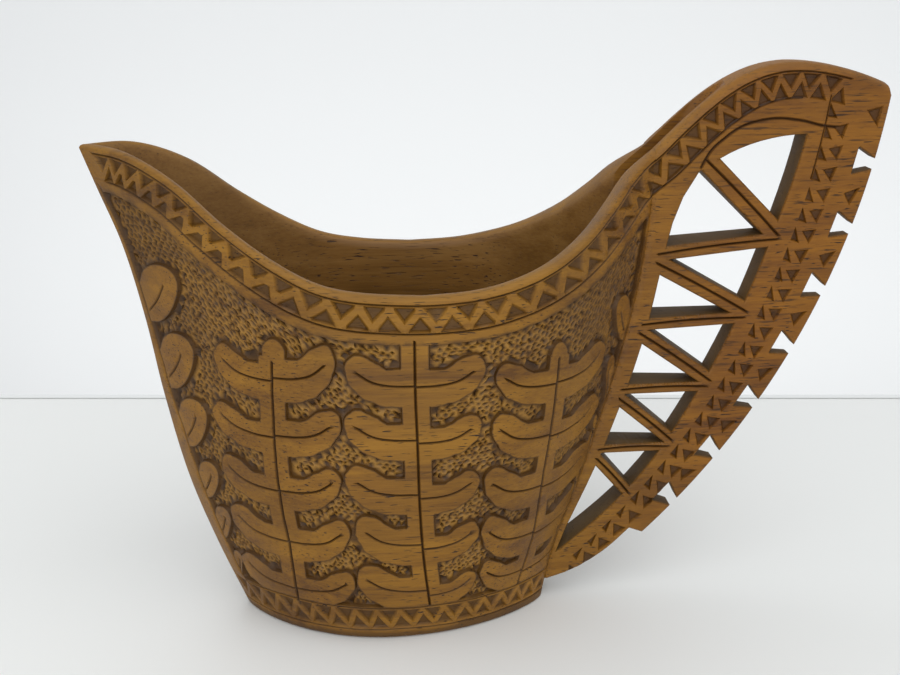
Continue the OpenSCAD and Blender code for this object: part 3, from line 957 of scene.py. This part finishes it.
def makeBowl():
    work = bowlCarving()
    height, length = sheet["height"], sheetLength
    flat, extra, faces = triangulate(bowlNet(work))
    middle = flat[faces].mean(1)
    faces = faces[np.all((middle > 0) & (middle < (length, height)), axis=1)]
    used = np.unique(faces)
    renumber = np.full(len(flat), -1)
    renumber[used] = np.arange(len(used))
    flat, extra, faces = flat[used], extra[used], renumber[faces]
    print("  bowl side", len(flat), "points", len(faces), "triangles")
    t, s = fromSheet(flat)
    skin = outerSkin(t, s)
    seat = skin[:, [0, 2]]
    depth, clear, leafEdge = relief(seat, work, extra)
    # painted shade towards prow and stern: 0 on the middle of the side, 1 at the ends
    endShade = np.clip((np.abs(seat[:, 0] + 4) - 22) / 34, 0, 1)
    grimeAndShade = grimeAndShadeOf(skin, work, depth, clear, extra, leafEdge, endShade)
    depth *= np.clip(flat[:, 0] / 0.5, 0, 1)
    crestWear = np.clip(1 - distance(seat, crest, 3) / 1.7, 0, 1) * (depth < 0.1)
    # the stipple ridges are paler with wear, less so towards prow and stern as painted shade
    worn = bowlWear["rim"] * crestWear + bowlWear["stipple"] * (extra < -0.05) * (1 - 0.8 * endShade)
    # the skin is sunk by the carving, the rounding of foot and rim, and the knife's unevenness
    lift = roundOver(skin[:, 2], 0.9) * 0.7 + beadDepth(seat) + sternCrease(seat)
    fade = np.clip(np.minimum(flat[:, 0], length - flat[:, 0]) / 3, 0, 1)
    fade *= np.clip(skin[:, 2] / 3, 0, 1) * np.clip((height - flat[:, 1]) / 3, 0, 1)
    lift += (wander(seat, 0.09) + 0.09) * fade
    square = np.clip(1 - np.minimum(length - flat[:, 0], flat[:, 0]) / 2.5, 0, 1)[:, None]
    way = mix(skinNormal(t, s), np.array([0, -1.0, 0]), square)
    way /= np.linalg.norm(way, axis=1)[:, None]
    near = skin - way * (depth + lift)[:, None]
    onProw = flat[:, 0] < 1e-4
    near[onProw, 1] = 0
    n = len(near)
    other = np.arange(n) + np.where(onProw, 0, n)      # the same spot on the far side
    allFaces = [tuple(f) for f in faces] + [tuple(other[f[::-1]]) for f in faces]
    for path in (border(flat, 1, 0.0), border(flat, 0, length)):
        allFaces += [tuple(dict.fromkeys((a, b, other[b], other[a]))) for a, b in zip(path, path[1:])]
    slots = [0] * len(allFaces)
    top = border(flat, 1, height)
    half = len(top) - 1
    ring = np.concatenate([top[:0:-1] + n, top])
    tRing = np.concatenate([t[top][:0:-1], t[top]])
    rows = crestRows(np.vstack([near[top][:0:-1], near[top]]), tRing)
    crestCount = len(rows)
    rows += [innerSkin(tRing, np.full(len(ring), q)) for q in hollowLevels]
    side = np.where(np.arange(len(ring)) < half, -1.0, 1.0)
    verts, wornRows, start = [near, near * (1, -1, 1)], [worn, worn], 2 * n
    for r, row in enumerate(rows):
        row[:, 1] *= side
        row[half, 1] = 0
        verts.append(row)
        ids = np.arange(start, start + len(ring))
        start += len(ring)
        allFaces += zip(ring, ids, np.roll(ids, -1), np.roll(ring, -1))
        slots += [0 if r < crestCount else 1] * len(ring)
        wornRows.append(np.full(len(ring), bowlWear["rim"] if r < crestCount else 0.0))
        ring = ids
    for k in range(half):
        corners = (ring[half + k], ring[half + k + 1], ring[half - k - 1], ring[half - k])
        allFaces.append(tuple(dict.fromkeys(corners)))
        slots.append(1)
    verts = np.vstack(verts)
    bowl = makeMesh("carved_bowl", verts, allFaces, slots, [polished, hollowed],
                    {"carved": np.concatenate([grimeAndShade, grimeAndShade, np.zeros(len(verts) - 2 * n)]),
                     "worn": np.concatenate(wornRows)})
    tidyMesh(bowl, bowlForm["sharpFrom"])
    return bowl


def polar(r, a):
    a = np.radians(a)
    return tipCentre + np.column_stack([r * np.cos(a), r * np.sin(a)])


slotRadius = plateForm["tipRadius"] - plateForm["slotDepth"]
sternLine = np.column_stack([sternX(np.linspace(0, bowlForm["sternHeight"], 19)),
                             np.linspace(0, bowlForm["sternHeight"], 19)])


def innerRailX(z):
    spread = [(0, .2), (.1, .26), (.25, .5), (.38, .78), (.6, 1), (.84, 1.1), (.93, 1.5), (1, 2.4)]
    return sternX(z) + plateForm["innerRail"] * through(spread, z / 115)


innerZ = np.linspace(115, sternLine[2, 1], 17)
innerEdge = np.column_stack([innerRailX(innerZ), innerZ])
footAngle = math.degrees(math.atan2(innerEdge[-1, 1] - tipCentre[1], innerEdge[-1, 0] - tipCentre[0]))


def railInnerR(a):
    narrowing = [(0, 0), (.23, 0), (.53, .45), (.78, 1), (1, 1.1)]
    return slotRadius - mix(plateForm["railTop"], plateForm["railLow"],
                            through(narrowing, (-9.9 - a) / (-9.9 - footAngle)))


outerA = mix(footAngle, -9.9, np.arange(1, 25) / 24)
outerEdge = polar(railInnerR(outerA), outerA)
bellyLow = innerEdge[0] + (5.3, 3.1)
armBelly = bezier(outerEdge[23], outerEdge[23] - (8, 0), bellyLow + (5.3, 3.1), bellyLow, np.arange(9) / 8)


def armOutline():
    f = plateForm
    teeth = polar(np.full(5, f["tipRadius"]), mix(f["cornerAngle"] - 0.5, f["firstSlot"], np.arange(5) / 4))
    notch = polar(np.array([slotRadius]), np.array([f["firstSlot"]]))
    return np.vstack([armBack, armNose[1:], teeth, notch, armBelly,
                      [innerEdge[0], sternLine[16], armStart - 10, armStart - (10, 0)]])


def innerOutline():
    return np.vstack([sternLine[16], innerEdge, sternLine[2] - (10, 0), sternLine[16] - (30, 0)])


def outerOutline():
    f = plateForm
    tips = polar(np.full(57, f["tipRadius"]), mix(f["firstSlot"], -46.1, np.arange(57) / 56))
    k = np.arange(17) / 16
    dip = through([(0, 1.4), (.3, 1.5), (.6, .3), (.85, -2.2), (1, -4)], k)
    tail = polar(slotRadius + dip, mix(-46.6, -56, k))
    return np.vstack([tips, tail, sternLine[1] - (10, 0), sternLine[2] - (10, 0), sternLine[2], innerEdge[-1],
                      outerEdge, polar(np.array([slotRadius]), np.array([f["firstSlot"]]))])


def slotOutlines():
    f = plateForm
    bottom = math.degrees(f["slotBottom"] / 2 / slotRadius)
    mouth = math.degrees(f["slotMouth"] / 2 / f["tipRadius"])
    mouth *= 1 - (bottom / mouth - 1) * 0.4
    past = f["tipRadius"] + 0.4 * f["slotDepth"]
    out = []
    for k in range(f["slots"]):
        a = f["firstSlot"] - k * f["toothPitch"]
        out.append(polar(np.array([past, slotRadius, slotRadius, past]),
                         a + np.array([mouth, bottom, -bottom, -mouth])))
    return out


def bowlSideOutline():
    foot, top = [(-10, -20), (bowlForm["footHalf"], -20)], [(bowlForm["sternReach"], 161), (-10, 161)]
    return np.vstack([foot, sternLine, top])


# heights of the joints between the spokes, which draw together towards the foot
def nearJoint(m):
    return 93 - 18.9 * m + 0.5 * m * m


def farJoint(m):
    return 98.2 - 21.15 * m + 0.95 * m * m


def farEnd(z):
    a = math.degrees(math.asin((z - tipCentre[1]) / (slotRadius - plateForm["railTop"])))
    a = math.degrees(math.asin((z - tipCentre[1]) / float(railInnerR(a))))
    return np.array([polar(np.array([float(railInnerR(a))]), np.array([a]))[0][0], z])


def nearEnd(z):
    return np.array([float(innerRailX(z)), z])


def spokeEnds(n):
    # both ends and the width: even spokes lie level, odd ones slant
    m = (n - 1) // 2
    shrink = plateForm["spokeRatio"] ** m
    if n % 2 == 0:
        return nearEnd(nearJoint(m) + 1.6), farEnd(farJoint(m) - 1.2), plateForm["levelSpoke"] * shrink
    start = (innerEdge[0] + bellyLow) / 2 if m == 0 else nearEnd(nearJoint(m - 1) - 1.6)
    return start, farEnd(farJoint(m) + 1.2), plateForm["slantSpoke"] * shrink


def strip(n, past=8):
    a, b, w = spokeEnds(n)
    way = (b - a) / np.linalg.norm(b - a)
    side = np.array([-way[1], way[0]]) * w / 2
    a, b = a - past * way, b + past * way
    return np.array([a - side, b - side, b + side, a + side])


spokeNumbers = range(1, 10)
plateNames = ["handle_top_arm", "handle_inner_rail", "handle_outer_rail"]
plateNames += ["spoke_%d" % n for n in spokeNumbers]
plateShapes = {"arm": armOutline(), "inner": innerOutline(), "outer": outerOutline(),
               "bowl": bowlSideOutline(), "web": np.vstack([innerEdge, outerEdge, armBelly])}


def plateRegion(spots):
    # number of the piece that each spot belongs to, or -1 for air
    slot = np.zeros(len(spots), bool)
    for outline in slotOutlines():
        slot |= inside(spots, outline)
    solid = ~slot & ~inside(spots, plateShapes["bowl"])
    region = np.full(len(spots), -1)
    web = inside(spots, plateShapes["web"])
    strips = {n: inside(spots, strip(n)) for n in spokeNumbers}
    for n in spokeNumbers:
        here = web & strips[n]
        if n % 2:
            m = (n - 1) // 2
            for k in range(max(m - 1, 0), min(m, 3) + 1):
                here &= ~strips[2 * k + 2]
        region[here] = 2 + n
    region[inside(spots, plateShapes["outer"]) & solid] = 2
    region[inside(spots, plateShapes["inner"]) & solid] = 1
    region[inside(spots, plateShapes["arm"]) & solid] = 0
    return region


# the ladder of chips down the outer rail and the chips on the teeth, in mm and degrees; gaps are
# from the circle of the tooth tips
railCarving = {
    "ladderGap": [(-56, 7.2), (-48, 9.4), (-35, 11.7), (-20, 14.5), (-7, 15.6)],
    "ladderPitch": 5.35,
    "ladderEnds": (-7.1, -51),
    "ladderLine": (-6.6, -13.4),
    "chipWidth": 2.9,
    "chipDepth": 0.85,
    "toothDepth": 0.9,
    "toothChip": ((-.05, 5.5), (.7, 1.5), (-.9, 2.9)),
    "cornerChip": ((116.6, 129.0), (121.0, 130.0), (120.0, 124.6)),
    "bellyLine": [(75.6, 115.9), (77.6, 119.6), (80.4, 122.4), (85.7, 125.9), (93, 127.4), (100, 126.8),
                  (105.8, 125.4), (110.5, 124.9)],
    "bellyCut": (0.5, 0.6),
    "ladderCut": (0.3, 0.4),
    "armLine": (0.36, 0.5),
    "spokeCut": (0.42, 0.62),
}


def fromTip(a, gap):
    return polar(np.array([plateForm["tipRadius"] - gap]), np.array([a]))[0]


def ladderGap(a):
    return float(through(railCarving["ladderGap"], a))


def ladderChips():
    f = railCarving
    step = math.degrees(f["ladderPitch"] / (plateForm["tipRadius"] - 11))
    chips = []
    a, last = f["ladderEnds"]
    while a > last:
        g, w = ladderGap(a), f["chipWidth"] * (1 if a > -44 else 0.8)
        deep = f["chipDepth"] * dice.uniform(.85, 1.1)
        chips.append(pocket(fromTip(a, g - .25), fromTip(a - .70 * step, g - .3),
                            fromTip(a - .70 * step, g - w), deep))
        chips.append(pocket(fromTip(a - 1.1 * step, g - w * .8), fromTip(a - .82 * step, g - w - 3.2),
                            fromTip(a - 1.6 * step, g - w - 2.7), deep))
        a -= step
    return chips


def plateCarving():
    c, f = carving, railCarving
    ladderLine = np.array([fromTip(a, ladderGap(a)) for a in np.linspace(*f["ladderLine"], 16)])
    grooves = [(under(c["beadGap"] + 0.1, 58, 112), *c["rimLine"]),
               (under(c["bandGap"] - 0.2, 55, 100), *f["armLine"]),
               (flowing(f["bellyLine"]), *f["bellyCut"]), (ladderLine, *f["ladderCut"])]
    chips = [chip for chip in rimChips if chip["corners"][:, 0].max() > 50] + ladderChips()
    chips.append(pocket(*f["cornerChip"], f["toothDepth"]))
    for k in range(1, plateForm["slots"]):
        mid = plateForm["firstSlot"] - (k - 0.5) * plateForm["toothPitch"]
        chips.append(pocket(*(fromTip(mid + turn, gap) for turn, gap in f["toothChip"]), f["toothDepth"]))
    # a knife groove down the middle of every spoke
    for n in spokeNumbers:
        a, b, w = spokeEnds(n)
        way = (b - a) / np.linalg.norm(b - a)
        bow = np.array([-way[1], way[0]]) * (0.35 if n % 2 == 0 else 0.2)
        path = flowing([mix(a, b, -.06), mix(a, b, .3) + bow, mix(a, b, .7) + bow, mix(a, b, 1.07)])
        half, deep = f["spokeCut"]
        grooves.append((path, half * (w / 4) ** .3, deep))
    return {"ground": None, "leaves": [], "grooves": grooves, "chips": chips}


def sharedEdges(faces, region):
    seen = {}
    for f, r in zip(faces, region):
        for a, b in ((f[0], f[1]), (f[1], f[2]), (f[2], f[0])):
            seen.setdefault((min(a, b), max(a, b)), []).append(r)
    return seen


def plateSkeleton():
    # first pass: the true outline of the pierced plate and the lines between its pieces
    net = emptyNet()
    for path in [*plateShapes.values(), *slotOutlines(), *(strip(n) for n in spokeNumbers)]:
        lay(net, np.asarray(path), closed=True)
    flat, _, faces = triangulate(net)
    region = plateRegion(flat[faces].mean(1))
    rim, joins = [], []
    for (a, b), owners in sharedEdges(faces, region).items():
        inner = [r for r in owners if r >= 0]
        if not inner or (len(owners) == 2 and owners[0] == owners[1]):
            continue
        onStern = max(abs(flat[k][0] - float(sternX(flat[k][1]))) for k in (a, b)) < 0.25
        (rim if len(inner) == 1 and not onStern else joins).append((flat[a], flat[b]))
    print("  plate outline", len(rim), "edges", len(joins), "joins")
    return np.array(rim), np.array(joins)


def plateNet(work, rim, joins):
    # second pass: the same outline with the carving and the rounded edges
    net = workLines(work, lambda path: np.asarray(path, float))
    for a, b in [*rim, *joins]:
        lay(net, keepCorners([a, b], 0.75))
    for gap in (0.14, 0.34, plateForm["edgeRound"]):
        for p, q in rim:
            along = (q - p) / max(np.linalg.norm(q - p), 1e-9)
            side = np.array([-along[1], along[0]]) * gap
            for way in (-1, 1):
                path = keepCorners([p + side * way, q + side * way], 0.9)
                keep = (toEdges(path, rim, gap) > gap * 0.97) & (plateRegion(path) >= 0)
                lay(net, path[keep], joined=False)
    for gap in (0.5, 1.1, 1.9, 2.7):
        lay(net, under(gap, 64.3, 122), joined=False)
    fixed = np.vstack(net["points"])
    fill = hexGrid(36, 125, 1, 142, 0.95, 0.85, 0.12)
    fill = fill[plateRegion(fill) >= 0]
    fill = fill[~crowded(fill, fixed, 0.34)]
    lay(net, fill[outOfChips(fill, work)], joined=False)
    return net


def makePlate():
    work = plateCarving()
    rim, joins = plateSkeleton()
    flat, extra, faces = triangulate(plateNet(work, rim, joins))
    region = plateRegion(flat[faces].mean(1))
    away, toCrest = toEdges(flat, rim, 3), distance(flat, crest, 3)
    depth = np.where(away < 0.01, 0, relief(flat, work, extra)[0])
    lift = np.maximum(roundOver(away, plateForm["edgeRound"]), beadDepth(flat) * (flat[:, 0] > 60))
    lift += sternCrease(flat) * (flat[:, 1] < 120)
    fade = np.clip(away / 2, 0, 1) * np.clip((flat[:, 0] - sternX(flat[:, 1])) / 3, 0, 1)
    lift += (wander(flat * 1.6, 0.07) + 0.07) * fade
    half = plateHalf(flat[:, 0], flat[:, 1]) - lift - depth
    # painted shade, partly oil and dust: darker in the cuts and chips, and along the edges of the openings
    # away from the crest
    grimeAndShade = np.where(depth > 0.62, 0.55, np.clip(depth * 1.7, 0, 1))
    grimeAndShade = np.maximum(grimeAndShade, 0.3 * (away < 0.2) * (toCrest > 0.9))
    worn = 0.15 * np.clip(1 - away / 0.9, 0, 1) + 0.35 * np.clip(1 - toCrest / 2.2, 0, 1)
    worn *= depth < 0.05
    # the faces along the crest and on the tooth tips are polished, those of the openings are not
    onCrest = toCrest < 0.25
    onTip = np.abs(np.hypot(*(flat - tipCentre).T) - plateForm["tipRadius"]) < 0.25
    pieces = []
    for number, name in enumerate(plateNames):
        mine = faces[region == number]
        used = np.unique(mine)
        ids = np.full(len(flat), -1)
        ids[used] = np.arange(len(used))
        n = len(used)
        front = np.column_stack([flat[used, 0], -half[used], flat[used, 1]])
        tris = ids[mine]
        allFaces = [tuple(f) for f in tris] + [tuple(f[::-1] + n) for f in tris]
        slots = [0] * len(allFaces)
        for (a, b), owners in sharedEdges(tris, [0] * len(tris)).items():
            if len(owners) == 1:
                ends = [used[a], used[b]]
                allFaces.append((a, b, b + n, a + n))
                slots.append(0 if onCrest[ends].all() or onTip[ends].all() else 1)
        marks = {key: np.tile(values[used], 2) for key, values in (("carved", grimeAndShade), ("worn", worn))}
        piece = makeMesh("carved_" + name, np.vstack([front, front * (1, -1, 1)]), allFaces, slots,
                         [polished, knifed], marks)
        pieces.append((piece, name))
    return pieces


print("bowl")
cutter = coveCutter()
bowl = makeBowl()
cutWith(bowl, cutter)
tidyMesh(bowl, bowlForm["sharpFrom"])
print("handle")
handle = makePlate()
for piece, name in handle:
    if name == "handle_top_arm":
        tidyMesh(piece, plateForm["sharpFrom"])
        cutWith(piece, cutter)
    tidyMesh(piece, plateForm["sharpFrom"])
bpy.data.objects.remove(cutter)

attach(bowl, "root")
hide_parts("bowl")
for piece, name in handle:
    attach(piece, "root")
    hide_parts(name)

# table, light and camera; lengths in m, each light as place, aim, size and power
setting = {
    "tableWhite": "#ecedeb",
    "wallWhite": "#f2f3f3",
    "edgeShadeWhite": "#e9ebea",
    "skyWhite": "#eef0f2",
    "skyStrength": 0.77,
    "tableFar": 0.452,
    "tableHalf": 1.2,
    "wallFar": 1.6,
    "wallHalf": 2.5,
    "cameraAt": (-0.01115, -0.29886, 0.170),
    "cameraPitch": 18.0,
    "cameraTurn": 5.0,
    "lens": 49.8,
    "lights": {
        "key_softbox": ((-0.45, 0.15, 0.85), (0, 0, 0.05), (0.7, 0.7), 1.1),
        "front_softbox": ((-0.15, -0.95, 0.35), (0, 0, 0.06), (0.6, 0.6), 3.0),
        "overhead_softbox": ((0.25, -0.55, 1.1), (0.1, -0.15, 0), (1.2, 0.8), 4.0),
        "backdrop_light": ((0.2, 0.85, -0.35), (0.25, 1.4, 0.15), (1.6, 0.5), 1.8),
    },
}


def plainLook(name, colour, roughness):
    # the fine grit is 1.1 mm here, coarser than the real one, and only breaks up the gleam
    look = bpy.data.materials.new(name)
    look.use_nodes = True
    tree = look.node_tree
    tree.nodes.clear()
    grit = addNode(tree, "ShaderNodeTexNoise", {"Scale": 900.0, "Detail": 2.0}).outputs["Fac"]
    bump = addNode(tree, "ShaderNodeBump", {"Strength": 0.05, "Distance": 0.2 * mm},
                   {"Height": grit}).outputs[0]
    shader = addNode(tree, "ShaderNodeBsdfPrincipled", {"Base Color": linear(colour), "Roughness": roughness},
                     {"Normal": bump})
    addNode(tree, "ShaderNodeOutputMaterial", links={"Surface": shader.outputs[0]})
    return look


def stagePiece(name, verts, look):
    # a strip of quads from pairs of corners
    mesh = bpy.data.meshes.new(name)
    mesh.from_pydata(verts, [], [(k, k + 1, k + 3, k + 2) for k in range(0, len(verts) - 2, 2)])
    mesh.materials.append(look)
    thing = bpy.data.objects.new(name, mesh)
    bpy.context.scene.collection.objects.link(thing)


def makeStage():
    f = setting
    turn = math.radians(f["cameraTurn"])
    ahead, across = np.array([math.sin(turn), math.cos(turn)]), np.array([math.cos(turn), -math.sin(turn)])
    eye = np.array(f["cameraAt"][:2])

    def corners(far, z, half):
        return [(*(eye + ahead * far + across * side), z) for side in (-half, half)]

    far, half = f["tableFar"], f["tableHalf"]
    # the table ends in a rounded edge, and a thin greyer strip along it is painted shade where table and
    # backdrop meet
    edge = [(-0.6, 0.0), (far - .003, 0.0), (far, -0.0012), (far + .001, -0.004), (far + .001, -0.4)]
    # edge strip: a slightly greyer matt line, painted shade along the table's edge
    stagePiece("table_edge", [c for v in (far - .0048, far - .0012) for c in corners(v, 0.0003, half)],
               plainLook("painted_edge_shade_strip", f["edgeShadeWhite"], 0.6))
    # table top: laminate, pressed; plain white with a wide soft reflection
    stagePiece("white_table", [c for v, z in edge for c in corners(v, z, half)],
               plainLook("pressed_white_laminate", f["tableWhite"], 0.5))
    # backdrop: paper, matt; no reflection at all
    stagePiece("white_backdrop", [c for z in (-0.9, 2.2) for c in corners(f["wallFar"], z, f["wallHalf"])],
               plainLook("matt_white_paper", f["wallWhite"], 0.9))


def softLight(name, at, aim, size, power):
    lamp = bpy.data.lights.new(name, "AREA")
    lamp.shape = "RECTANGLE"
    lamp.size, lamp.size_y = size
    lamp.energy = power
    holder = bpy.data.objects.new(name, lamp)
    holder.location = at
    holder.rotation_euler = (Vector(aim) - Vector(at)).to_track_quat("-Z", "Y").to_euler()
    bpy.context.scene.collection.objects.link(holder)


print("stage")
makeStage()
for name, (at, aim, size, power) in setting["lights"].items():
    softLight(name, at, aim, size, power)

world = bpy.data.worlds.new("studio")
world.use_nodes = True
sky = world.node_tree.nodes["Background"].inputs
sky["Color"].default_value = linear(setting["skyWhite"])
sky["Strength"].default_value = setting["skyStrength"]
bpy.context.scene.world = world
bpy.context.scene.view_settings.view_transform = "Standard"

eye = bpy.data.cameras.new("camera")
eye.lens = setting["lens"]
eye.sensor_width = 36
eye.clip_start = 0.01
viewer = bpy.data.objects.new("camera", eye)
viewer.location = setting["cameraAt"]
viewer.rotation_euler = (math.radians(90 - setting["cameraPitch"]), 0, -math.radians(setting["cameraTurn"]))
bpy.context.scene.collection.objects.link(viewer)
bpy.context.scene.camera = viewer
